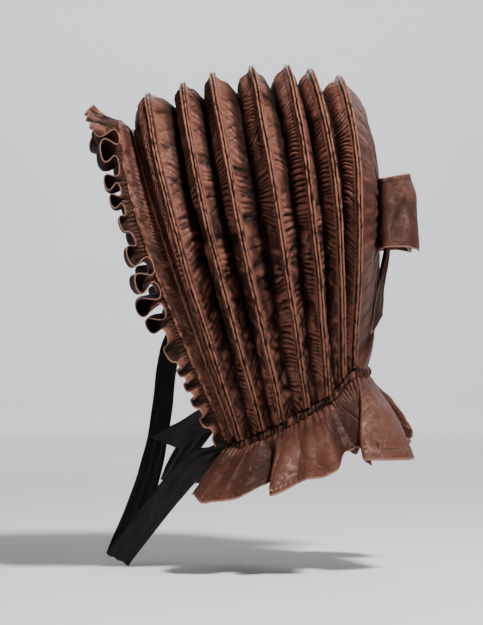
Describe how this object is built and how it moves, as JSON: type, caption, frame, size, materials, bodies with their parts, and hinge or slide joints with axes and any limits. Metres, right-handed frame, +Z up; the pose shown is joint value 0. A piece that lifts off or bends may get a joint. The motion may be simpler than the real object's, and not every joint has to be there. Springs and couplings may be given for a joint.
{
  "type": "calash bonnet",
  "caption": "Folding calash: a tall hood of gathered brown silk over arched cane hoops, with a face frill, neck ruffle, bow at the back and black ribbon ties.",
  "frame": {"origin": "where the crown of the wearer's head sits, on the plane that halves the hood", "axes": "+Z up; the face opening looks towards -X and the nape is towards +X; the wearer's left side, which the picture shows, is towards -Y"},
  "size_m": [0.3485, 0.2802, 0.5203],
  "materials": {
    "brown_silk": "crisp plain-weave silk with a soft sheen, gathered",
    "silk_covered_cane": "the same silk drawn tight over split cane",
    "black_ribbon": "thin black silk ribbon"
  },
  "bodies": {
    "root": {"hood_cover": "brown_silk", "back_panel": "brown_silk", "brim_frill": "brown_silk", "neck_band": "brown_silk", "neck_curtain": "brown_silk", "bow_knot": "brown_silk", "bow_loop_near": "brown_silk", "bow_loop_far": "brown_silk", "bow_tail_near": "brown_silk", "bow_tail_far": "brown_silk", "front_cane": "silk_covered_cane", "hoop_1": "silk_covered_cane", "hoop_2": "silk_covered_cane", "hoop_3": "silk_covered_cane", "hoop_4": "silk_covered_cane", "hoop_5": "silk_covered_cane", "hoop_6": "silk_covered_cane", "hoop_7": "silk_covered_cane", "bridle_ribbon": "black_ribbon", "near_tie": "black_ribbon", "far_tie": "black_ribbon"}
  },
  "joints": []
}
